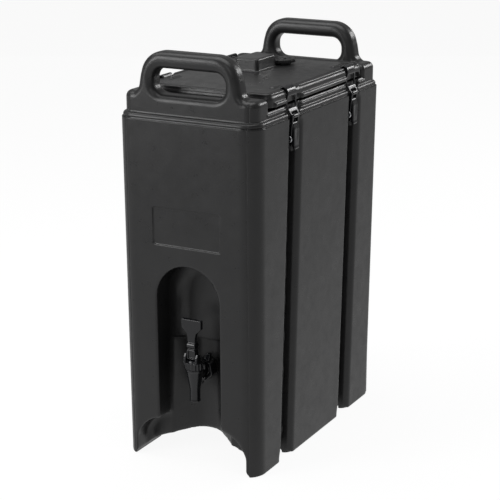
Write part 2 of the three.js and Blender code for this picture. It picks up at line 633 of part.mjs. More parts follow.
put('faucet_body', faucetBody(), glossBlack);
put('faucet_bonnet', faucetBonnet(), glossBlack);
put('faucet_lever', faucetLever(), glossBlack);
put('faucet_pivot_pin', pivotBar(FAUCET.pinR, 10.2), steel);
put('faucet_stem', faucetStem(), glossBlack);
put('faucet_seat_cup', faucetSeatCup(), softBlack);
put('faucet_shank', faucetShank(), glossBlack);
put('faucet_wing_nut', faucetWingNut(), glossBlack);
const sealY = FAUCET.flangeY + FAUCET.flangeT + GAP;
put('faucet_seal_washer', washerY(15, sealY, sealY + FAUCET.washerT), softBlack);
put('faucet_tank_washer', washerY(14.5, -114.2, -111.7), softBlack);
put('faucet_tank_nut', faucetTankNut(), glossBlack);

export default dispenser;
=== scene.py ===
import json
import math

import bmesh
import bpy
import numpy as np
from mathutils import Matrix, Vector


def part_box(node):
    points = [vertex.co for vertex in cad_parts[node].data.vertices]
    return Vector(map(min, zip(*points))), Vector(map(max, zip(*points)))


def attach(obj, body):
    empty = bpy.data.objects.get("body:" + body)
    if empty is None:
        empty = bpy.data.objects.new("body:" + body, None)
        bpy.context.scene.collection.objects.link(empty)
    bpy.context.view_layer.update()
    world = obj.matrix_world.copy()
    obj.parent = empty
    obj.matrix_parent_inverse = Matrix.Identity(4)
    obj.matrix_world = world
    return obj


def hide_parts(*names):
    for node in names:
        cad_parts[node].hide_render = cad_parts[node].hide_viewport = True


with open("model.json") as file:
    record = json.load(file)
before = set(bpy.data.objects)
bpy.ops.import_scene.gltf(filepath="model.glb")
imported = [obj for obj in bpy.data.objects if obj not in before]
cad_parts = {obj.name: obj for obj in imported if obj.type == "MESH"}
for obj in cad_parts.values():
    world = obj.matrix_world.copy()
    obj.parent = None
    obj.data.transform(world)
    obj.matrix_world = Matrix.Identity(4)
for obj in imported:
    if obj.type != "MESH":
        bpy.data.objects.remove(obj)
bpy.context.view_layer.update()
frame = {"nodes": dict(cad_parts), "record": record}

# The insulated beverage dispenser: looks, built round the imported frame.
# Field functions work in millimetres, in the row frame; objects are in metres.
MM = 0.001

# ---------- driving dimensions, in mm, from the frame ----------
body_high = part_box("body_shell")[1] / MM
lid_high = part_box("lid_shell")[1] / MM
HALF_W = body_high.x
HALF_D = body_high.y
HEIGHT = body_high.z
NECK_X = lid_high.x + 1.8                 # the photo's neck is a little wider than the frame's lid
LID_Y = lid_high.y
SHOULDER_Z = 522.0
NECK_Y = HALF_D - 9.0
NECK_REAR = NECK_Y + 4.0
RIM_Z = 537.0
BLOCK_Z = 556.6
BLOCK_Y = 158.0
LID_Z = 560.0
TAPER_SIDE, TAPER_FRONT, TAPER_REAR = 2.1, 7.1, 14.0
GROOVE_HALF, GROOVE_FLOOR, GROOVE_LEAN = 17.5, 19.5, 20.0
GROOVE_Y = (-90.0, 111.0)


# ---------- distance fields: less than nothing inside, in mm ----------
def meet(a, b, r):
    """Where both fields are inside, with the edge between them rounded to r."""
    u = np.maximum(a + r, 0)
    v = np.maximum(b + r, 0)
    return np.minimum(np.maximum(a, b), -r) + np.hypot(u, v)


def join(a, b, r):
    """Where either field is inside, with a fillet of r between them."""
    return -meet(-a, -b, r)


def carve(a, b, r):
    """The first field with the second taken out of it, the new edge rounded to r."""
    return meet(a, -b, r)


def rounded_box(x, y, half_x, half_y, r):
    """Distance to a rounded rectangle centred on the origin."""
    qx = np.abs(x) - (half_x - r)
    qy = np.abs(y) - (half_y - r)
    return np.minimum(np.maximum(qx, qy), 0) + np.hypot(np.maximum(qx, 0), np.maximum(qy, 0)) - r


def tapered(x, y, z):
    """Plan coordinates with the body's draw-in towards its base undone."""
    t = np.maximum(0, 1 - z / SHOULDER_Z)
    draw = np.where(y < 0, TAPER_FRONT, TAPER_REAR)
    return x / (1 - TAPER_SIDE / HALF_W * t), y / (1 - draw / HALF_D * t)


def polygon(x, z, points):
    """Distance to a closed outline of points, less than nothing inside it."""
    best = None
    inside = np.zeros(np.broadcast(x, z).shape, bool)
    for (ax, az), (bx, bz) in zip(points, points[1:] + points[:1]):
        ex, ez = bx - ax, bz - az
        along = np.clip(((x - ax) * ex + (z - az) * ez) / (ex * ex + ez * ez), 0, 1)
        away = np.hypot(x - ax - along * ex, z - az - along * ez)
        best = away if best is None else np.minimum(best, away)
        crosses = ((az > z) != (bz > z)) & (x < ex * (z - az) / (ez or 1e-9) + ax)
        inside ^= crosses
    return np.where(inside, -best, best)


def blend_step(value, low, high):
    """Smooth step from 0 at low to 1 at high."""
    t = np.clip((value - low) / (high - low), 0, 1)
    return t * t * (3 - 2 * t)


# ---------- the body ----------
CORNER_FRONT, CORNER_REAR, CORNER_NECK, CORNER_NECK_REAR = 27.0, 17.0, 18.0, 11.0
WALL_TOP, WALL_EDGE = 519.8, 1.3          # crisp outer edge, then a rounder step above it
STEP_INSET, STEP_TOP, STEP_EDGE = 1.9, 527.0, 4.6
SEAM_RISE, SEAM_R = 0.4, 1.0              # fine line between the two
BASE_EDGE = 2.2


def body_block(x, y, z):
    px, py = tapered(x, y, z)
    corner = np.where(y < 0, CORNER_FRONT, CORNER_REAR)
    plan = rounded_box(px, py, HALF_W, HALF_D, corner)
    wall = meet(plan, z - WALL_TOP, WALL_EDGE)
    step = meet(plan + STEP_INSET, z - STEP_TOP, STEP_EDGE)
    seam = np.hypot(plan + STEP_INSET, z - WALL_TOP - SEAM_RISE) - SEAM_R
    return meet(carve(np.minimum(wall, step), seam, 0.4), -z, BASE_EDGE)


RIM_EDGE, RIM_LEAN, RIM_LEAN_HEIGHT = 1.2, 0.5, 4.0
RIM_BEAD_DROP, RIM_BEAD_HALF, RIM_BEAD_INSET, RIM_BEAD_R = 5.0, 0.4, 0.6, 1.7
BLOCK_CORNER, BLOCK_EDGE = 6.0, 9.5


def neck_plan(x, y):
    """The neck reaches further back than forward, with a tighter corner there."""
    return rounded_box(x, y, NECK_X, np.where(y < 0, NECK_Y, NECK_REAR),
                       np.where(y < 0, CORNER_NECK, CORNER_NECK_REAR))


def neck_block(x, y, z):
    """The neck. Between the end blocks its rim leans in, over a bead."""
    plan = neck_plan(x, y)
    between = np.abs(y) - (BLOCK_Y + BLOCK_CORNER)
    lean = np.clip(z - (RIM_Z - RIM_LEAN_HEIGHT), 0, RIM_LEAN_HEIGHT + 2) * RIM_LEAN * (between < 0)
    wall = meet(plan + lean, z - RIM_Z, RIM_EDGE)
    above = np.maximum(np.abs(z - (RIM_Z - RIM_BEAD_DROP)) - RIM_BEAD_HALF, 0)
    bead = np.hypot(above, plan + RIM_BEAD_INSET) - RIM_BEAD_R
    return join(wall, np.maximum(bead, between), 0.8)


def end_block(x, y, z):
    """The raised block at each end of the lid, under a handle."""
    inner = BLOCK_Y - np.abs(y)
    plan = meet(neck_plan(x, y), np.broadcast_to(inner, np.broadcast(x, y).shape), BLOCK_CORNER)
    return meet(plan, z - BLOCK_Z, BLOCK_EDGE)


HANDLE_Y, HANDLE_REAR_Y, HANDLE_HALF_DEPTH = 184.5, 190.0, 16.0
HANDLE_FOOT, HANDLE_TOP, HANDLE_CORNER, HANDLE_EDGE, HANDLE_FILLET = 84.3, 78.3, 37.0, 10.5, 11.0
HANDLE_BEND = 30.0                        # straight part of the legs at each end of their spread
HOLE_HALF, HOLE_LOW, HOLE_HIGH, HOLE_CORNER, HOLE_EDGE = 58.5, 555.0, 592.0, 16.5, 10.5


def handle_loop(x, y, z):
    """Legs and bar in one loop, with a fillet where the legs meet the block's top."""
    low, high = SHOULDER_Z + HANDLE_BEND, HEIGHT - HANDLE_BEND
    widening = (HANDLE_FOOT - HANDLE_TOP) * np.clip((high - z) / (high - low), 0, 1)
    half_high = (HEIGHT - SHOULDER_Z) / 2
    loop = rounded_box(x, z - (HEIGHT - half_high), HANDLE_TOP + widening, half_high, HANDLE_CORNER)
    foot = np.maximum(z - (BLOCK_Z - 1), np.abs(x) - (HANDLE_FOOT + HANDLE_FILLET))
    loop = join(loop, foot, HANDLE_FILLET)
    at = np.where(y < 0, -HANDLE_Y, HANDLE_REAR_Y)
    return meet(loop, np.abs(y - at) - HANDLE_HALF_DEPTH, HANDLE_EDGE)


def handle_hole(x, z):
    middle = (HOLE_LOW + HOLE_HIGH) / 2
    return rounded_box(x, z - middle, HOLE_HALF, (HOLE_HIGH - HOLE_LOW) / 2, HOLE_CORNER)


ARCH_HALF, ARCH_SPRING, ARCH_FILLET = 52.0, 257.0, 24.0
LEDGE_Z, LEDGE_EDGE, LEDGE_FILLET = 183.0, 2.5, 3.0
UPPER_Y, LOWER_Y, LOWER_HALF, LOWER_SIDE_Y = -150.0, -141.0, 18.0, -168.0
LOWER_SIDE_FILLET, LOWER_BACK_FILLET = 5.0, 4.0


def faucet_recess(x, y, z):
    """Arched upper part, and a deeper three-sided lower part under a ledge."""
    ax = np.abs(x)
    arch = np.where(z > ARCH_SPRING, np.hypot(x, z - ARCH_SPRING) - ARCH_HALF, ax - ARCH_HALF)
    upper = meet(meet(arch, y - UPPER_Y, ARCH_FILLET), LEDGE_Z - z, LEDGE_EDGE)
    run, rise = ARCH_HALF - LOWER_HALF, LOWER_Y - 2 - LOWER_SIDE_Y
    slope = ((ax - ARCH_HALF) * rise + (y - LOWER_SIDE_Y) * run) / math.hypot(run, rise)
    lower = meet(meet(ax - ARCH_HALF, slope, LOWER_SIDE_FILLET), y - LOWER_Y, LOWER_BACK_FILLET)
    return join(upper, meet(lower, z - LEDGE_Z, LEDGE_EDGE), LEDGE_FILLET)


POCKET_HALF, POCKET_TOP, POCKET_CORNER, POCKET_WALL, POCKET_FILLET = 93.0, 66.0, 40.0, 168.0, 9.0
POCKET_SQUARENESS = 1.65                  # below 2, the corner is flatter than a circle
TUNNEL_HALF, TUNNEL_TOP = 97.0, 38.0
TUNNEL_CROWN, TUNNEL_SIDE = 1.7, 0.65     # powers that shape the arch near its crown and its sides


def finger_pocket(x, y, z):
    """Hollow under each end for the fingers, open outwards and below, as far in as POCKET_WALL."""
    u = np.maximum(np.abs(x) - (POCKET_HALF - POCKET_CORNER), 0)
    v = np.maximum(z - (POCKET_TOP - POCKET_CORNER), 0)
    corner = (u ** POCKET_SQUARENESS + v ** POCKET_SQUARENESS) ** (1 / POCKET_SQUARENESS) - POCKET_CORNER
    return meet(corner, POCKET_WALL - np.abs(y), POCKET_FILLET)


def tunnel(x, z):
    """Shallow arch between the skirts: its height falls from the middle to nothing at the sides."""
    u = np.clip(np.abs(x) / TUNNEL_HALF, 0, 0.999)
    left = 1 - u ** TUNNEL_CROWN
    rise = TUNNEL_TOP * left ** TUNNEL_SIDE
    steep = TUNNEL_CROWN * TUNNEL_SIDE * TUNNEL_TOP / TUNNEL_HALF * u ** (TUNNEL_CROWN - 1)
    steep = steep * left ** (TUNNEL_SIDE - 1)
    return np.where(np.abs(x) > TUNNEL_HALF, np.abs(x) - TUNNEL_HALF, (z - rise) / np.hypot(1, steep))


GROOVE_DEEPER = 2.0                       # at the base
GROOVE_FLARE, GROOVE_FILLET = 0.18, 3.5   # how fast the groove widens outwards, and its floor's corners
PAD_LOW, PAD_RISE = 466.0, 6.5            # the groove is shallower behind each latch
NOTCH_DEPTH = 3.0                         # of the notch that each latch has in the shoulder and the rim
RIM_GAP_BACK, RIM_GAP_HALF = 6.5, 23.5
CRISP_EDGE, SOFT_EDGE, BASE_CORNER = 1.3, 9.0, 4.5


def groove_offset(y, z, at):
    """How far y is behind a groove's middle, which leans forward towards the base."""
    return y - at + GROOVE_LEAN * (1 - z / SHOULDER_Z)


def rim_gap(y, at):
    """Where the rim and the lid's flange are cut back for a latch: more behind it than in front."""
    return np.abs(y - at - RIM_GAP_BACK) - RIM_GAP_HALF


def side_grooves(x, y, z):
    """Both grooves of a side, with the notches above them."""
    ax = np.abs(x)
    floor = HALF_W - GROOVE_FLOOR - GROOVE_DEEPER * np.clip(1 - z / SHOULDER_Z, 0, 1) ** 1.5
    floor = floor + PAD_RISE * blend_step(z, PAD_LOW - 1, PAD_LOW + 1)
    half = GROOVE_HALF - 3 + (ax - (HALF_W - GROOVE_FLOOR)) * GROOVE_FLARE
    outside = NECK_X - NOTCH_DEPTH - ax
    found = None
    for at in GROOVE_Y:
        beside = np.abs(groove_offset(y, z, at)) - half
        groove = meet(meet(beside, floor - ax, GROOVE_FILLET), z - (SHOULDER_Z - 3), 1.0)
        notch = meet(meet(beside, outside, 1.0), z - (SHOULDER_Z + 6), 1.0)
        rim = meet(meet(rim_gap(y, at), outside, 1.0), SHOULDER_Z + 5.5 - z, 1.0)
        both = np.minimum(np.minimum(groove, notch), rim)
        found = both if found is None else np.minimum(found, both)
    return found


def groove_edge(y, z):
    """Edge rounding beside the grooves: crisp in front, well rounded behind, rounder at the base."""
    soft = np.zeros(np.broadcast(y, z).shape)
    for at in GROOVE_Y:
        across = groove_offset(y, z, at)
        soft = soft + blend_step(across, -4, 4) * (np.abs(across) < 60)
    soft = np.clip(soft, 0, 1)
    upper = blend_step(z, SHOULDER_Z - 12, SHOULDER_Z - 4)
    lower = 1 - blend_step(z, 6, 26)
    return CRISP_EDGE + (SOFT_EDGE - CRISP_EDGE) * soft * (1 - upper) + BASE_CORNER * (1 - soft) * lower


PLATE_HALF, PLATE_LOW, PLATE_HIGH, PLATE_Y = 55.5, 337.5, 393.8, -205.2
PLATE_CORNER, PLATE_EDGE = 3.5, 1.0


def name_recess(x, y, z):
    """Shallow blank plate in the front."""
    middle = (PLATE_LOW + PLATE_HIGH) / 2
    plan = rounded_box(x, z - middle, PLATE_HALF, (PLATE_HIGH - PLATE_LOW) / 2, PLATE_CORNER)
    return meet(plan, y - PLATE_Y, PLATE_EDGE)


def body_field(x, y, z):
    ends = np.minimum(end_block(x, y, z), handle_loop(x, y, z))
    ends = carve(ends, np.broadcast_to(handle_hole(x, z), ends.shape), HOLE_EDGE)
    d = join(body_block(x, y, z), neck_block(x, y, z), 1.6)
    d = np.minimum(d, ends)
    d = carve(d, side_grooves(x, y, z), groove_edge(y, z))
    d = carve(d, faucet_recess(x, y, z), 3.2)
    d = carve(d, join(tunnel(x, z), finger_pocket(x, y, z), 2), 2.4)
    return carve(d, name_recess(x, y, z), PLATE_EDGE)


# ---------- the lid ----------
TOP_X, TOP_Y, TOP_HALF_X, TOP_HALF_Y, TOP_DRAFT = -17.0, 35.0, 20.0, 30.5, 0.04   # block on the lid
TOP_CORNER, TOP_EDGE, TOP_FILLET = 4.0, 2.6, 2.5
SKIRT_Z, LID_INSET, LID_CORNER, LID_EDGE, LID_WALL = 541.0, 0.6, 12.0, 9.0, 4.5
FLANGE_Z, FLANGE_INSET, FLANGE_R, FLANGE_END = 544.0, 0.9, 3.7, 14.0    # bead round the lid's lower edge
BEAD_INSET, BEAD_DROP, BEAD_R = 5.6, 2.1, 3.0                           # faint bead on the top edge
BEAD_GAP_Y, BEAD_GAP_HALF = 5.0, 22.0     # its gap, centred a little behind each latch
KEEPER_X, KEEPER_HALF, KEEPER_LENGTH, KEEPER_RISE = 84.0, 3.2, 13.0, 2.0
LID_NOTCH, LID_NOTCH_TOP = 2.6, 548.5


def lid_field(x, y, z):
    plan = rounded_box(x, y, NECK_X, LID_Y, LID_CORNER)
    d = meet(plan + LID_INSET, z - LID_Z, LID_EDGE)
    d = meet(d, SKIRT_Z - z, 0.6)
    ends = np.abs(y) - (LID_Y - FLANGE_END)
    flange = meet(np.hypot(plan + FLANGE_INSET, z - FLANGE_Z) - FLANGE_R, ends, 2)
    d = join(d, flange, 1.6)
    bead = np.hypot(plan + BEAD_INSET, z - (LID_Z - BEAD_DROP)) - BEAD_R
    for at in GROOVE_Y:
        gap = np.abs(y - at - BEAD_GAP_Y) - BEAD_GAP_HALF
        bead = meet(bead, -np.where(np.abs(x) > 60, gap, 30), 2.2)
    line = np.hypot(plan + BEAD_INSET + BEAD_R + 1.3, z - LID_Z) - 1.1
    d = carve(join(d, bead, 0.5), line, 0.5)
    draft = (z - LID_Z) * TOP_DRAFT
    top = rounded_box(x - TOP_X, y - TOP_Y, TOP_HALF_X - draft, TOP_HALF_Y - draft, TOP_CORNER)
    d = join(d, meet(top, z - lid_high.z, TOP_EDGE), TOP_FILLET)
    for at in GROOVE_Y:
        bar = rounded_box(np.abs(x) - KEEPER_X, y - at + 2, KEEPER_HALF, KEEPER_LENGTH, 3)
        d = join(d, meet(bar, z - (LID_Z + KEEPER_RISE), 1.4), 1.6)
    room = rounded_box(x, y, NECK_X - LID_WALL - 2, LID_Y - LID_WALL, 8)
    d = carve(d, meet(room, z - (LID_Z - 4), 2), 0.8)
    for at in GROOVE_Y:
        rim = meet(rim_gap(y, at), NECK_X - LID_NOTCH - np.abs(x), 1.0)
        d = carve(d, meet(rim, z - LID_NOTCH_TOP, 1.5), 1.0)
    return d


# ---------- the latches, at y = 0 on the +X side ----------
HINGE_X, HINGE_Z, LINK_X, LINK_Z = 107.0, 511.0, 109.5, 488.0
HINGE_BORE, PIN_BORE, BOSS_R = 2.3, 2.9, 4.4
HOOK_HALF, HOOK_THICK, ARM_WIDTH, LEG_WIDTH = 13.4, 2.3, 3.3, 3.0
WINDOW_LOW, WINDOW_HIGH, CROSSBAR_LOW = 532.5, 549.5, 527.0
RIB_X, RIB_Z, RIB_R, RIB_HALF = 110.0, 557.0, 1.3, 8.0
LEG_INNER = 7.2
LEVER_CORE, LEVER_HALF, STRAP_DRAFT = 6.4, 8.6, 0.05
BARREL_X, BARREL_Z, BARREL_R = 113.8, 521.2, 3.4
# The hook's outer side from its tip, over the lid's edge and down to the shoulder.
HOOK_SIDE = [(96.0, 559.6), (96.4, 561.0), (97.9, 563.4), (100.9, 564.1), (104.4, 562.9), (107.3, 560.2),
             (109.1, 556.5), (109.6, 551.9), (108.2, 545.5), (107.9, 539.2), (109.8, 532.0), (112.4, 527.0),
             (116.0, 521.6)]
# Its half width at each height: the arms bow outwards beside the window.
HOOK_SPREAD = ([480, 512, 520, 527, 534, 541, 547, 553], [9.6, 9.6, 10.4, 12.8, 14.8, 15.9, 15.0, HOOK_HALF])
LEG_SIDE = [(LINK_X - 3.0, LINK_Z - 2), (109.4, 503), (111.2, 520), (112.0, 523), (116.2, 522), (115.2, 515),
            (113.8, 503), (LINK_X + 3.0, LINK_Z - 2)]
CORE_SIDE = [(HINGE_X - 3, HINGE_Z), (LINK_X - 4, LINK_Z), (108, 478), (112, 476), (113, 500),
             (HINGE_X + 3.6, HINGE_Z)]
STRAP_SIDE = [(110.4, 511), (112.6, 512.8), (114.4, 511), (115.4, 508), (117.2, 502.5), (117.2, 486),
              (117.0, 478), (117.9, 474.6), (116.8, 472.6), (113.6, 473.4), (112.6, 480), (112, 500)]


def thickened(side, thick):
    """Closed outline of a strip on the inner side of a line of (x, z) points."""
    inner = []
    for i, (px, pz) in enumerate(side):
        (ax, az), (bx, bz) = side[max(i - 1, 0)], side[min(i + 1, len(side) - 1)]
        length = math.hypot(bx - ax, bz - az)
        inner.append((px + (bz - az) / length * thick, pz - (bx - ax) / length * thick))
    return side + inner[::-1]


def hook_field(x, y, z):
    """Bent sheet over the lid's edge, bowed arms beside a window, a crossbar, slim legs and a barrel."""
    ay = np.abs(y)
    half = np.interp(z, *HOOK_SPREAD)
    shape = meet(polygon(x, z, thickened(HOOK_SIDE, HOOK_THICK)), ay - half, 0.9)
    window = meet(meet(ay - half + ARM_WIDTH, WINDOW_LOW - z, 2), z - WINDOW_HIGH, 2.5)
    below = meet(ay - half + LEG_WIDTH, z - CROSSBAR_LOW, 2)
    shape = carve(shape, np.minimum(window, below), 0.9)
    rib = meet(np.hypot(x - RIB_X, z - RIB_Z) - RIB_R, ay - RIB_HALF, 0.5)
    shape = carve(shape, rib, 0.4)
    legs = np.minimum(polygon(x, z, LEG_SIDE), np.hypot(x - LINK_X, z - LINK_Z) - BOSS_R)
    legs = meet(meet(legs, ay - half, 0.8), LEG_INNER - ay, 0.8)
    barrel = meet(np.hypot(x - BARREL_X, z - BARREL_Z) - BARREL_R, ay - LEVER_HALF, 1.2)
    bore = np.hypot(x - LINK_X, z - LINK_Z) - PIN_BORE
    return carve(join(shape, np.minimum(legs, barrel), 0.8), bore, 0.4)


def lever_field(x, y, z):
    """Core on the two pins, with the strap that the thumb pulls."""
    ay = np.abs(y)
    core = np.minimum(polygon(x, z, CORE_SIDE), np.hypot(x - HINGE_X, z - HINGE_Z) - BOSS_R)
    core = np.minimum(core, np.hypot(x - LINK_X, z - LINK_Z) - BOSS_R)
    core = meet(core, ay - LEVER_CORE, 0.7)
    half = LEVER_HALF - (516 - z) * STRAP_DRAFT * (z < 516)
    strap = meet(polygon(x, z, STRAP_SIDE), ay - half, 1.3)
    dish = np.hypot(np.hypot(x - 123.2, (z - 496) * 0.3), y * 0.7) - 6.6
    shape = join(core, carve(strap, dish, 0.8), 1.0)
    for px, pz, r in ((HINGE_X, HINGE_Z, HINGE_BORE), (LINK_X, LINK_Z, PIN_BORE)):
        shape = carve(shape, np.hypot(x - px, z - pz) - r, 0.4)
    return shape


# ---------- the faucet, in front of the recess ----------
TAP_Y, TAP_AXIS_Z, PIVOT_Y, PIVOT_Z = -186.0, 139.0, -193.0, 170.0
STUB_R, STUB_END, COLLAR_R, COLLAR_START = 9.0, -158.4, 10.4, -161.5
MOUTH_R, MOUTH_TOP = 5.7, 122.0
SPOUT_SIDE = [(0, 98), (7.4, 98), (8.3, 98.8), (8.0, 100.5), (7.8, 102), (7.9, 117), (13.0, 145.2),
              (13.9, 146.2), (13.9, 149.2), (0, 149.2)]
CAP_LOW, CAP_TOP, CAP_R, CAP_SINK, CAP_RIB, CAP_RIBS = 149.5, 160.2, 14.6, 0.55, 0.5, 18
DOME_R, DOME_TOP, FIN_HALF, FIN_END, FIN_LOW, FIN_TOP = 12.2, 164.0, 1.7, 18.2, 150.4, 158.5
CHEEK_X, CHEEK_HALF = 9.6, 2.1
CHEEK_SIDE = [(-8, 160), (9, 160), (2.5, PIVOT_Z - 2), (3.6, PIVOT_Z + 3), (-3.4, PIVOT_Z + 4.4),
              (-6, PIVOT_Z)]
PADDLE_SPREAD = ([165, 193, 199, 206, 214, 227], [6.0, 6.3, 6.4, 8.0, 16.3, 16.5])
PADDLE_TOP, PADDLE_LOW, PADDLE_HALF_T, STALK_HALF, STALK_HALF_T = 227.0, 193.0, 3.4, 6.2, 2.4
KNUCKLE_Z, KNUCKLE_R, KNUCKLE_HALF, KNUCKLE_LOW = 187.2, 6.2, 7.0, 182.6
YOKE_HALF, YOKE_LOW, YOKE_TOP, YOKE_HALF_T = 7.1, 166.4, 181.0, 5.4
SUNK_HALF, SUNK_Z, SUNK_HALF_Z = 4.6, 173.4, 5.4
NUT_FRONT, NUT_BACK, NUT_TURN, NUT_R, NUT_LOBES, NUT_LOBE_R = -164.5, -148.3, 17.0, 16.6, 6, 0.9
NUT_HOLLOW_R, NUT_HOLLOW_DEPTH, NUT_BORE = 12.2, 2.2, 11.0
WING_END, WING_HALF_T = 27.0, 3.6
WING_SPREAD = ([12, WING_END], [5.2, 3.0])


def spout_field(x, y, z):
    """Tapered spout with a lipped mouth, and the stub that runs back to the wing nut."""
    r = np.hypot(x, y - TAP_Y)
    cone = polygon(r, z, SPOUT_SIDE)
    around = np.hypot(x, z - TAP_AXIS_Z)
    stub = meet(meet(around - STUB_R, TAP_Y - y, 1), y - STUB_END, 0.8)
    collar = meet(meet(around - COLLAR_R, COLLAR_START - y, 0.8), y - STUB_END, 0.8)
    shape = join(cone, np.minimum(stub, collar), 2.0)
    return carve(shape, meet(r - MOUTH_R, z - MOUTH_TOP, 1), 0.6)


def cap_field(x, y, z):
    """Ribbed ring with a fin on each side, a domed top, and two cheeks that carry the lever's pin."""
    v = y - TAP_Y
    r = np.hypot(x, v)
    ribbed = CAP_R - CAP_SINK + CAP_RIB * np.cos(CAP_RIBS * np.arctan2(v, x))
    ring = meet(meet(r - ribbed, z - CAP_TOP, 1.2), CAP_LOW - z, 0.5)
    dome = meet(meet(r - DOME_R, z - DOME_TOP, 3), CAP_LOW - z, 0.5)
    fin = meet(np.abs(v) - FIN_HALF, np.abs(x) - FIN_END, 1.4)
    fin = meet(meet(fin, z - FIN_TOP, 2.5), FIN_LOW - z, 1.2)
    cheek = meet(polygon(y - PIVOT_Y, z, CHEEK_SIDE), np.abs(np.abs(x) - CHEEK_X) - CHEEK_HALF, 1.0)
    return join(join(np.minimum(ring, fin), dome, 0.8), cheek, 1.2)


def paddle_field(x, y, z):
    """Flat paddle on a slim stalk, a rounded knuckle, and a square yoke with a sunk face."""
    ax = np.abs(x)
    v = y - PIVOT_Y
    half = np.interp(z, *PADDLE_SPREAD)
    plate = meet(ax - half, np.abs(v) - PADDLE_HALF_T, 1.0)
    plate = meet(plate, np.maximum(z - PADDLE_TOP, PADDLE_LOW - z), 0.9)
    stalk = meet(ax - STALK_HALF, np.abs(v) - STALK_HALF_T, 1.0)
    stalk = meet(stalk, np.maximum(z - PADDLE_LOW - 3, 166 - z), 0.8)
    knuckle = meet(np.hypot(v - 1, (z - KNUCKLE_Z) * 1.15) - KNUCKLE_R, ax - KNUCKLE_HALF, 1.2)
    knuckle = meet(knuckle, KNUCKLE_LOW - z, 1.0)
    yoke = meet(meet(ax - YOKE_HALF, z - YOKE_TOP, 1.1), YOKE_LOW - z, 1.0)
    yoke = meet(yoke, np.abs(v - 0.6) - YOKE_HALF_T, 1.0)
    sunk = meet(meet(ax - SUNK_HALF, np.abs(z - SUNK_Z) - SUNK_HALF_Z, 1.2), v + 1.0, 0.6)
    shape = join(join(np.minimum(plate, knuckle), stalk, 0.8), carve(yoke, sunk, 0.6), 0.6)
    return carve(shape, np.hypot(v, z - PIVOT_Z) - 1.9, 0.3)


def nut_field(x, y, z):
    """Lobed nut on the shank, with two wings that stand a little off the vertical."""
    turn = math.radians(NUT_TURN)
    u = x * math.cos(turn) - (z - TAP_AXIS_Z) * math.sin(turn)
    w = x * math.sin(turn) + (z - TAP_AXIS_Z) * math.cos(turn)
    r = np.hypot(u, w)
    from_middle = np.abs(y - (NUT_FRONT + NUT_BACK) / 2)
    lobed = r - NUT_R - NUT_LOBE_R * np.cos(NUT_LOBES * np.arctan2(w, u))
    ring = meet(lobed, from_middle - (NUT_BACK - NUT_FRONT) / 2, 2.2)
    wing = meet(np.abs(u) - np.interp(np.abs(w), *WING_SPREAD), np.abs(w) - WING_END, 2.6)
    wing = meet(wing, from_middle - WING_HALF_T, 1.6)
    hollow = meet(r - NUT_HOLLOW_R, y - NUT_FRONT - NUT_HOLLOW_DEPTH, 0.8)
    bore = np.hypot(x, z - TAP_AXIS_Z) - NUT_BORE
    return carve(carve(join(ring, wing, 2.2), hollow, 0.6), bore, 0.4)


VENT_R, VENT_THICK, VENT_GRIPS = 20.6, 5.6, 36
VENT_DISH_R, VENT_DISH_Z, VENT_KNOB_R, VENT_KNOB_Z, VENT_KNOB_HALF = 14.0, 4.4, 6.5, 2.8, 3.4
VENT_STEM_R, VENT_STEM_HALF = 5.8, 22.0


def vent_field(x, y, z):
    """Round cap on a stem: dished top, knob, fine grip at its edge; z = 0 is the cap's underside."""
    r = np.hypot(x, y)
    grip = r - VENT_R - 0.25 * np.cos(VENT_GRIPS * np.arctan2(y, x))
    disc = meet(meet(grip, z - VENT_THICK, 1.6), -z, 0.5)
    dish = meet(r - VENT_DISH_R, VENT_DISH_Z - z, 1.2)
    knob = meet(r - VENT_KNOB_R, np.abs(z - VENT_KNOB_Z) - VENT_KNOB_HALF, 1.2)
    stem = meet(r - VENT_STEM_R, np.abs(z + VENT_STEM_HALF) - VENT_STEM_HALF, 0.8)
    return np.minimum(join(carve(disc, dish, 0.8), knob, 1.0), stem)


# ---------- meshes ----------
def grid_lines(*stretches):
    """Grid positions from (start, spacing) pairs, the last one giving the end."""
    lines = []
    for (start, step), (end, _) in zip(stretches, stretches[1:]):
        count = max(1, round((end - start) / step))
        lines += list(np.linspace(start, end, count, endpoint=False))
    return np.array(lines + [stretches[-1][0]])


def mirrored(half):
    """Grid positions from 0 up, with the same ones below 0."""
    return np.concatenate([-half[:0:-1], half])


def surface_net(field, xs, ys, zs):
    """Vertices and quads of the field's zero surface, one vertex in each cell that it crosses."""
    f = field(xs[:, None, None], ys[None, :, None], zs[None, None, :]).astype(np.float32)
    f = np.broadcast_to(f, (len(xs), len(ys), len(zs)))
    inside = f < 0
    axes = (xs, ys, zs)
    cells = tuple(len(a) - 1 for a in axes)
    total = np.zeros((3, cells[0] * cells[1] * cells[2]))
    count = np.zeros(total.shape[1])
    faces = []
    for axis in range(3):
        low = [slice(None)] * 3
        high = [slice(None)] * 3
        low[axis], high[axis] = slice(None, -1), slice(1, None)
        low, high = tuple(low), tuple(high)
        at = np.nonzero(inside[low] != inside[high])
        fa, fb = f[low][at], f[high][at]
        share = fa / (fa - fb)
        point = [a[i] for a, i in zip(axes, at)]
        point[axis] = point[axis] + share * (axes[axis][at[axis] + 1] - axes[axis][at[axis]])
        others = [a for a in range(3) if a != axis]
        corner = []
        for du, dv in ((0, 0), (1, 0), (1, 1), (0, 1)):
            place = [i.copy() for i in at]
            place[others[0]] -= du
            place[others[1]] -= dv
            index = np.ravel_multi_index([np.clip(p, 0, c - 1) for p, c in zip(place, cells)], cells)
            for k in range(3):
                total[k] += np.bincount(index, point[k], total.shape[1])
            count += np.bincount(index, minlength=total.shape[1])
            corner.append(index)
        quads = np.stack(corner, 1)
        flip = inside[low][at] == (axis == 1)
        quads[flip] = quads[flip][:, ::-1]
        faces.append(quads)
    used = count > 0
    number = np.cumsum(used) - 1
    points = (total[:, used] / count[used]).T
    faces = number[np.concatenate(faces)]
    return points, faces


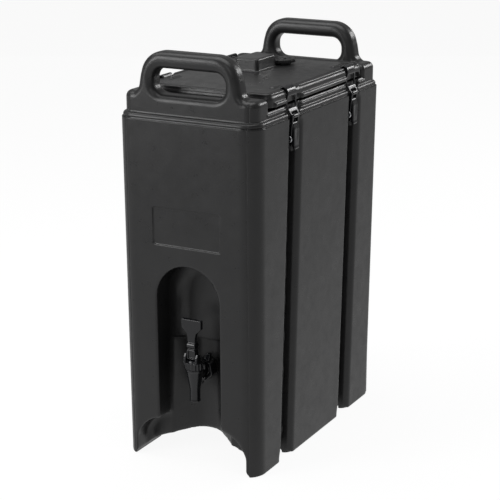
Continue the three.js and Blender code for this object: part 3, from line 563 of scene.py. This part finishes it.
def settle(field, points, rounds=3, reach=1.5):
    """Points moved onto the field's zero surface, by no more than reach along each axis."""
    start = points.copy()
    for _ in range(rounds):
        x, y, z = points.T
        value = field(x, y, z)
        step = 0.05
        slope = np.stack([field(x + step, y, z) - field(x - step, y, z),
                          field(x, y + step, z) - field(x, y - step, z),
                          field(x, y, z + step) - field(x, y, z - step)], 1) / (2 * step)
        size = np.maximum((slope ** 2).sum(1), 0.25)
        points = points - slope * (value / size)[:, None]
        points = start + np.clip(points - start, -reach, reach)
    return points


def mesh_object(name, points, faces, scale=MM):
    """An object of its own from points, which are in mm unless a scale is given."""
    mesh = bpy.data.meshes.new(name)
    faces = faces.tolist() if isinstance(faces, np.ndarray) else faces
    mesh.from_pydata((np.asarray(points) * scale).tolist(), [], faces)
    mesh.update()
    obj = bpy.data.objects.new(name, mesh)
    bpy.context.scene.collection.objects.link(obj)
    return obj


def shade(obj, degrees=40):
    """Smooth shading, with edges over so many degrees kept sharp."""
    obj.data.shade_smooth()
    obj.data.set_sharp_from_angle(angle=math.radians(degrees))


def net_object(name, field, xs, ys, zs):
    """A large piece from its field, with nothing below the floor."""
    points, faces = surface_net(field, xs, ys, zs)
    points = settle(field, points)
    points[:, 2] = np.maximum(points[:, 2], 0)
    return mesh_object(name, points, faces)


def apply_modifiers(obj):
    graph = bpy.context.evaluated_depsgraph_get()
    mesh = bpy.data.meshes.new_from_object(obj.evaluated_get(graph))
    obj.modifiers.clear()
    obj.data = mesh


def cut_away(obj, cutter):
    """Takes the cutter's volume out of the piece, and deletes the cutter."""
    modifier = obj.modifiers.new("cut", "BOOLEAN")
    modifier.operation = "DIFFERENCE"
    modifier.solver = "MANIFOLD"
    modifier.object = cutter
    apply_modifiers(obj)
    bpy.data.objects.remove(cutter)


def prism(name, outline, low, high):
    """Upright prism over an outline, all in mm."""
    count = len(outline)
    points = [(x, y, low) for x, y in outline] + [(x, y, high) for x, y in outline]
    faces = [list(range(count))[::-1], list(range(count, 2 * count))]
    faces += [[i, (i + 1) % count, count + (i + 1) % count, count + i] for i in range(count)]
    return mesh_object(name, points, faces)


def rounded_outline(x0, x1, y0, y1, r, steps=6):
    """Rectangle with rounded corners, as a list of (x, y) points."""
    points = []
    centres = ((x1 - r, y1 - r), (x0 + r, y1 - r), (x0 + r, y0 + r), (x1 - r, y0 + r))
    for quarter, (cx, cy) in enumerate(centres):
        for i in range(steps + 1):
            a = math.pi / 2 * (quarter + i / steps)
            points.append((cx + r * math.cos(a), cy + r * math.sin(a)))
    return points


def revolved(name, profile, axis="Z", at=(0, 0, 0), segments=48):
    """Closed ring or disc: a (radius, height) profile turned about an axis through `at`, in mm."""
    points, rings = [], []
    for r, h in profile:
        ring = []
        for i in range(segments if r > 1e-6 else 1):
            a = 2 * math.pi * i / segments
            ring.append(len(points))
            points.append((r * math.cos(a), r * math.sin(a), h))
        rings.append(ring)
    closed = rings[0] != rings[-1] and len(rings[0]) > 1 and profile[0] != profile[-1]
    pairs = list(zip(rings, rings[1:])) + ([(rings[-1], rings[0])] if closed else [])
    faces = []
    for a, b in pairs:
        for i in range(segments):
            quad = [a[i % len(a)], a[(i + 1) % len(a)], b[(i + 1) % len(b)], b[i % len(b)]]
            face = list(dict.fromkeys(quad))
            if len(face) > 2:
                faces.append(face)
    turn = {"Z": Matrix.Identity(3), "Y": Matrix(((1, 0, 0), (0, 0, 1), (0, -1, 0))),
            "X": Matrix(((0, 0, 1), (1, 0, 0), (0, 1, 0)))}[axis]
    points = [tuple(turn @ Vector(p) + Vector(at)) for p in points]
    return mesh_object(name, points, faces)


def outward(obj):
    """Joins doubled points and turns every face outwards."""
    bm = bmesh.new()
    bm.from_mesh(obj.data)
    bmesh.ops.remove_doubles(bm, verts=bm.verts, dist=1e-6)
    bmesh.ops.recalc_face_normals(bm, faces=bm.faces)
    bm.to_mesh(obj.data)
    bm.free()


# ---------- materials ----------
def node_material(name, base, roughness, metallic=0.0, specular=0.5, coat=0.0):
    material = bpy.data.materials.new(name)
    material.use_nodes = True
    shader = material.node_tree.nodes["Principled BSDF"]
    shader.inputs["Base Color"].default_value = (*base, 1)
    shader.inputs["Roughness"].default_value = roughness
    shader.inputs["Metallic"].default_value = metallic
    shader.inputs["Specular IOR Level"].default_value = specular
    shader.inputs["Coat Weight"].default_value = coat
    return material, shader


def noise(tree, scale, detail=2.0, rough=0.5):
    coordinates = tree.nodes.new("ShaderNodeTexCoord")
    texture = tree.nodes.new("ShaderNodeTexNoise")
    texture.inputs["Scale"].default_value = scale
    texture.inputs["Detail"].default_value = detail
    texture.inputs["Roughness"].default_value = rough
    tree.links.new(coordinates.outputs["Object"], texture.inputs["Vector"])
    return texture.outputs["Fac"]


def spread(tree, source, low, high, start=0.3, end=0.7):
    """The source's values from start to end become low to high."""
    node = tree.nodes.new("ShaderNodeMapRange")
    node.inputs["From Min"].default_value = start
    node.inputs["From Max"].default_value = end
    node.inputs["To Min"].default_value = low
    node.inputs["To Max"].default_value = high
    tree.links.new(source, node.inputs["Value"])
    return node.outputs["Result"]


def tinted(tree, factor, dark, light):
    """Colour that runs from dark to light with the factor."""
    ramp = tree.nodes.new("ShaderNodeValToRGB")
    ramp.color_ramp.elements[0].position = 0.3
    ramp.color_ramp.elements[1].position = 0.7
    ramp.color_ramp.elements[0].color = (*dark, 1)
    ramp.color_ramp.elements[1].color = (*light, 1)
    tree.links.new(factor, ramp.inputs["Fac"])
    return ramp.outputs["Color"]


def bumped(tree, height, distance, strength=1.0, under=None):
    bump = tree.nodes.new("ShaderNodeBump")
    bump.inputs["Strength"].default_value = strength
    bump.inputs["Distance"].default_value = distance
    tree.links.new(height, bump.inputs["Height"])
    if under is not None:
        tree.links.new(under, bump.inputs["Normal"])
    return bump.outputs["Normal"]


def moulded_plastic(name, dark, light, grain=900.0):
    """Rotomoulded polyethylene: a fine pebbled skin over a slightly uneven wall."""
    material, shader = node_material(name, light, 0.5)
    tree = material.node_tree
    tree.links.new(tinted(tree, noise(tree, 14, 4), dark, light), shader.inputs["Base Color"])
    tree.links.new(spread(tree, noise(tree, 60, 5, 0.6), 0.26, 0.38), shader.inputs["Roughness"])
    wave = bumped(tree, noise(tree, 9, 1), 0.0012)
    skin = bumped(tree, noise(tree, grain, 1, 0.5), 0.00012, 1.0, wave)
    tree.links.new(skin, shader.inputs["Normal"])
    return material


def gloss_plastic(name, dark, light, low=0.16, high=0.3):
    """Injection-moulded plastic: glossy, with faint flow marks and handling wear."""
    material, shader = node_material(name, light, low, specular=0.6)
    tree = material.node_tree
    tree.links.new(tinted(tree, noise(tree, 45, 4), dark, light), shader.inputs["Base Color"])
    tree.links.new(spread(tree, noise(tree, 120, 6, 0.65), low, high), shader.inputs["Roughness"])
    tree.links.new(bumped(tree, noise(tree, 350, 3), 0.00006), shader.inputs["Normal"])
    return material


def chrome(name):
    """Bright steel with fine wear."""
    material, shader = node_material(name, (0.62, 0.63, 0.65), 0.16, metallic=1.0)
    tree = material.node_tree
    tree.links.new(spread(tree, noise(tree, 300, 4), 0.1, 0.26), shader.inputs["Roughness"])
    tree.links.new(bumped(tree, noise(tree, 700, 2), 0.00003), shader.inputs["Normal"])
    return material


def soft_material(name, dark, light, scale, height, roughness=0.85):
    """Dull, grainy material for the seals and the foam."""
    material, shader = node_material(name, light, roughness, specular=0.3)
    tree = material.node_tree
    tree.links.new(tinted(tree, noise(tree, scale, 4), dark, light), shader.inputs["Base Color"])
    tree.links.new(spread(tree, noise(tree, scale * 2, 3), roughness - 0.1, roughness + 0.08),
                   shader.inputs["Roughness"])
    tree.links.new(bumped(tree, noise(tree, scale * 3, 5, 0.7), height), shader.inputs["Normal"])
    return material


shell_look = moulded_plastic("moulded_shell", (0.017, 0.017, 0.0175), (0.022, 0.022, 0.0225))
tank_look = moulded_plastic("tank_liner", (0.020, 0.020, 0.021), (0.027, 0.027, 0.028), 500.0)
gloss_look = gloss_plastic("gloss_black", (0.0055, 0.0058, 0.0075), (0.0085, 0.009, 0.0115))
steel_look = chrome("steel")
rubber_look = soft_material("seal_rubber", (0.010, 0.010, 0.010), (0.018, 0.018, 0.018), 300, 0.0001)
foam_look = soft_material("foam", (0.52, 0.45, 0.24), (0.66, 0.60, 0.38), 160, 0.0008, 0.9)
LOOKS = {"moulded_shell": shell_look, "tank_liner": tank_look, "gloss_black": gloss_look,
         "steel": steel_look, "seal_rubber": rubber_look, "foam": foam_look}


def dress(obj, slot):
    """Gives a piece its look, and no other."""
    obj.data.materials.clear()
    obj.data.materials.append(LOOKS[slot])


def place(obj, slot, body, *nodes):
    """Finishes a new piece: its look, its slot, the body it rides on and the CAD nodes it stands for."""
    dress(obj, slot)
    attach(obj, body)
    if nodes:
        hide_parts(*nodes)


# ---------- camera, lights, floor ----------
def look_at(obj, target):
    direction = Vector(target) - obj.location
    obj.rotation_euler = direction.to_track_quat("-Z", "Y").to_euler()


def add_camera(azimuth=28.129, elevation=15.962, distance=2.3995, target=(0, 0, 0.3)):
    data = bpy.data.cameras.new("camera")
    data.lens = 111.67
    data.sensor_width = 36
    data.shift_x = -0.00889
    data.shift_y = -0.02205
    camera = bpy.data.objects.new("camera", data)
    a, e = math.radians(azimuth), math.radians(elevation)
    back = Vector((math.sin(a) * math.cos(e), -math.cos(a) * math.cos(e), math.sin(e)))
    camera.location = Vector(target) + back * distance
    look_at(camera, target)
    bpy.context.scene.collection.objects.link(camera)
    bpy.context.scene.camera = camera


def add_light(name, place_at, target, width, height, power):
    """White rectangular lamp that the camera doesn't see, in metres and watts."""
    data = bpy.data.lights.new(name, "AREA")
    data.shape = "RECTANGLE"
    data.size, data.size_y = width, height
    data.energy = power
    light = bpy.data.objects.new(name, data)
    light.location = place_at
    light.visible_camera = False
    look_at(light, target)
    bpy.context.scene.collection.objects.link(light)


# The world's light: strong from below, faint from above, changing between two values of the direction's z.
WORLD_BELOW, WORLD_ABOVE, WORLD_FROM, WORLD_TO = 0.62, 0.2, -0.35, 0.05


def add_studio():
    add_light("overhead", (0, 0, 2.3), (0, 0, 0.3), 1.6, 1.6, 17)
    add_light("over_left", (-1.2, -0.3, 2.2), (0, 0, 0.4), 1.0, 1.4, 8)
    add_light("rim", (1.25, 2.6, 1.5), (0, 0, 0.5), 1.1, 0.5, 17)
    add_light("back_left", (-1.6, 3.0, 1.0), (0, 0, 0.3), 2.5, 2.0, 1.5)
    add_light("front_top", (0.9, -2.2, 1.9), (0, 0, 0.3), 1.2, 0.8, 4)
    add_light("front_left", (-1.6, -2.2, 1.2), (0, 0, 0.3), 1.2, 1.6, 32)
    world = bpy.data.worlds.new("studio")
    world.use_nodes = True
    tree = world.node_tree
    tree.nodes["Background"].inputs["Color"].default_value = (1, 1, 1, 1)
    direction = tree.nodes.new("ShaderNodeTexCoord")
    parts = tree.nodes.new("ShaderNodeSeparateXYZ")
    tree.links.new(direction.outputs["Generated"], parts.inputs["Vector"])
    fade = spread(tree, parts.outputs["Z"], WORLD_BELOW, WORLD_ABOVE, WORLD_FROM, WORLD_TO)
    tree.links.new(fade, tree.nodes["Background"].inputs["Strength"])
    bpy.context.scene.world = world
    bpy.context.scene.view_settings.view_transform = "Standard"


FLOOR_HALF, FLOOR_GLOW = 40.0, 0.92       # metres, and the strength that gives the photo's white ground


def add_floor():
    """Floor that glows white for the camera, but lights nothing and isn't mirrored in the piece."""
    half = FLOOR_HALF
    floor = mesh_object("floor", [(-half, -half, 0), (half, -half, 0), (half, half, 0), (-half, half, 0)],
                        [(0, 1, 2, 3)], 1.0)
    material, shader = node_material("floor", (0.12, 0.12, 0.12), 0.8, specular=0.0)
    shader.inputs["Emission Color"].default_value = (1, 1, 1, 1)
    shader.inputs["Emission Strength"].default_value = FLOOR_GLOW
    floor.data.materials.append(material)
    floor.visible_diffuse = floor.visible_glossy = False


add_camera()
add_studio()
add_floor()


# ---------- the body shell ----------
TANK_GAP, MOUTH_CORNER, MOUTH_DEPTH = 0.3, 10, 5.3       # opening for the tank's flange
PIT_HALF, PIT_REAR, PIT_CORNER, SPLIT_Z = 75.9, 160.4, 28.4, 330
PIT_FRONT, PIT_FLOOR = -168.4, 321.6                     # wide upper part of the hollow for the tank
DEEP_FRONT, DEEP_FLOOR = -118.4, 83.6                    # its lower part, behind the faucet recess


def build_body():
    """The body from its field, with the hollow for the tank cut out."""
    xs = mirrored(grid_lines((0, 6), (14, 2), (22, 6), (46, 1.5), (60, 4), (90, 2), (98, 1.5), (116, 1)))
    ys = grid_lines((-212, 1.5), (-196, 3), (-164, 2), (-136, 6), (-132, 2), (-104, 4), (-90, 2), (-62, 8),
                    (66, 2), (98, 4), (112, 2), (142, 5), (152, 2), (172, 3), (196, 1.6), (212, 1))
    zs = grid_lines((-3, 1.7), (14, 4), (74, 8), (176, 2), (190, 8), (250, 3.5), (314, 8), (332, 1),
                    (340, 8), (390, 1), (400, 8), (460, 1.5), (470, 6), (512, 1), (560, 2.2), (618, 1))
    body = net_object("dispenser_body", body_field, xs, ys, zs)
    tank_low, tank_high = (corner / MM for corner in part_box("inner_tank"))
    flange = rounded_outline(tank_low.x - TANK_GAP, tank_high.x + TANK_GAP, tank_low.y - TANK_GAP,
                             tank_high.y + TANK_GAP, MOUTH_CORNER)
    cut_away(body, prism("mouth", flange, tank_high.z - MOUTH_DEPTH, RIM_Z + 3))
    for name, front, floor, top in (("pit", PIT_FRONT, PIT_FLOOR, RIM_Z - 2),
                                    ("deep", DEEP_FRONT, DEEP_FLOOR, SPLIT_Z)):
        outline = rounded_outline(-PIT_HALF, PIT_HALF, front, PIT_REAR, PIT_CORNER)
        cut_away(body, prism(name, outline, floor, top))
    shade(body, 48)
    place(body, "moulded_shell", "body", "body_shell", "foam_core")


build_body()


# ---------- the lid shell ----------
VENT_HOLE_R, VENT_HOLE_LOW, VENT_HOLE_HIGH = 9, 500, 600


def build_lid():
    """The lid from its field, with the hole under the vent cap cut out."""
    xs = mirrored(grid_lines((0, 3), (42, 8), (84, 1.5), (112, 1)))
    ys = grid_lines((-160, 1.5), (-140, 5), (-112, 1.5), (-68, 6), (2, 1.5), (10, 6), (60, 1.5), (68, 6),
                    (90, 1.5), (134, 5), (140, 1.5), (160, 1))
    zs = grid_lines((538, 1.0), (566, 1.5), (582, 1))
    lid = net_object("lid_cover", lid_field, xs, ys, zs)
    vent_low, vent_high = (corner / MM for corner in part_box("vent_cap"))
    middle = (vent_low + vent_high) / 2
    profile = [(0, VENT_HOLE_LOW), (VENT_HOLE_R, VENT_HOLE_LOW), (VENT_HOLE_R, VENT_HOLE_HIGH),
               (0, VENT_HOLE_HIGH)]
    hole = revolved("hole", profile, at=(middle.x, middle.y, 0))
    outward(hole)
    cut_away(lid, hole)
    shade(lid, 48)
    place(lid, "moulded_shell", "lid", "lid_shell")


build_lid()


# ---------- the four latches ----------
def placed_copy(name, points, faces, side, y):
    """The +X side's mesh at y, or turned half round for the -X side."""
    points = np.array(points)
    if side == "left":
        points = points * (-1, -1, 1)
    return mesh_object(name, points + (0, y, 0), faces)


LINK_END = 10.1                           # where the pin's ends roll over, outside the hook's legs


def link_pin(name, side, y):
    """Tubular pin with its ends rolled into bright rims."""
    rim = ((1.5, -0.6), (2.2, 0.5), (3.4, 0.9), (4.6, 0.6), (4.9, 0.2), (4.4, 0), (2.5, -0.2))
    half = [(r, LINK_END + h) for r, h in rim]
    profile = [(r, h) for r, h in half] + [(r, -h) for r, h in reversed(half)]
    sign = 1 if side == "right" else -1
    pin = revolved(name, profile, "Y", (sign * LINK_X, y, LINK_Z), 32)
    outward(pin)
    shade(pin, 50)
    return pin


def latch_net(field, xs, ys, zs):
    """Points and faces of a latch piece, settled on its field."""
    points, faces = surface_net(field, xs, ys, zs)
    return settle(field, points, reach=0.5), faces


def build_latches():
    """One hook and one lever, each copied to the four latches, with a link pin for each."""
    hook = latch_net(hook_field, grid_lines((93, 0.7), (119, 1)),
                     mirrored(grid_lines((0, 1.4), (6, 0.7), (17, 1))), grid_lines((482, 0.8), (568, 1)))
    lever = latch_net(lever_field, grid_lines((100, 0.7), (120, 1)),
                      mirrored(grid_lines((0, 0.8), (10, 1))), grid_lines((470, 0.8), (527, 1)))
    for side in ("right", "left"):
        for tag, y in zip(("front", "rear"), GROOVE_Y):
            name = f"{side}_{tag}"
            for kind, net in (("hook", hook), ("lever", lever)):
                piece = placed_copy(f"{kind}_{name}", *net, side, y)
                shade(piece, 50)
                place(piece, "gloss_black", f"{kind}_{name}", f"latch_{kind}_{name}")
            pin = link_pin(f"link_pin_{name}", side, y)
            place(pin, "steel", f"lever_{name}", f"latch_link_pin_{name}")


build_latches()


# ---------- faucet and vent ----------
def detail_piece(name, field, box, spacing, slot, body, node):
    """A small piece from its field, on an even grid over a box given in mm."""
    lines = [grid_lines((low - 1, spacing), (high + 1, 1)) for low, high in zip(*box)]
    points, faces = surface_net(field, *lines)
    piece = mesh_object(name, settle(field, points, reach=spacing), faces)
    shade(piece, 50)
    place(piece, slot, body, node)
    return piece


TAP_PIN_HALF, TAP_PIN_R, TAP_PIN_BEVEL = 10.2, 1.6, 0.3


def build_faucet():
    detail_piece("tap_spout", spout_field, ((-14, -200, 98), (14, -158, 150)), 0.7, "gloss_black",
                 "body", "faucet_body")
    detail_piece("tap_cap", cap_field, ((-18.5, -202, 149), (18.5, -171, 176)), 0.55, "gloss_black",
                 "body", "faucet_bonnet")
    detail_piece("tap_lever", paddle_field, ((-17, -201, 165), (17, -186, 228)), 0.6, "gloss_black",
                 "faucet_handle", "faucet_lever")
    detail_piece("tap_nut", nut_field, ((-20, -166, 111), (20, -147, 167)), 0.7, "gloss_black",
                 "body", "faucet_wing_nut")
    end, thin = TAP_PIN_HALF - TAP_PIN_BEVEL, TAP_PIN_R - TAP_PIN_BEVEL
    profile = [(0, -TAP_PIN_HALF), (thin, -TAP_PIN_HALF), (TAP_PIN_R, -end), (TAP_PIN_R, end),
               (thin, TAP_PIN_HALF), (0, TAP_PIN_HALF)]
    pin = revolved("tap_pin", profile, "X", (0, PIVOT_Y, PIVOT_Z), 24)
    outward(pin)
    shade(pin)
    place(pin, "steel", "body", "faucet_pivot_pin")


def build_vent():
    low, high = (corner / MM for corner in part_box("vent_cap"))
    middle = (low + high) / 2
    base = high.z - VENT_THICK

    def field(x, y, z):
        return vent_field(x - middle.x, y - middle.y, z - base)

    reach = 22
    box = ((middle.x - reach, middle.y - reach, low.z), (middle.x + reach, middle.y + reach, high.z))
    detail_piece("vent_button", field, box, 0.7, "moulded_shell", "vent", "vent_cap")


build_faucet()
build_vent()

# ---------- CAD nodes that keep their shape ----------
slot_of = {part["node"]: part["material_slot"] for part in frame["record"]["subparts"]}
for name, node in frame["nodes"].items():
    if not node.hide_render:
        dress(node, slot_of[name])
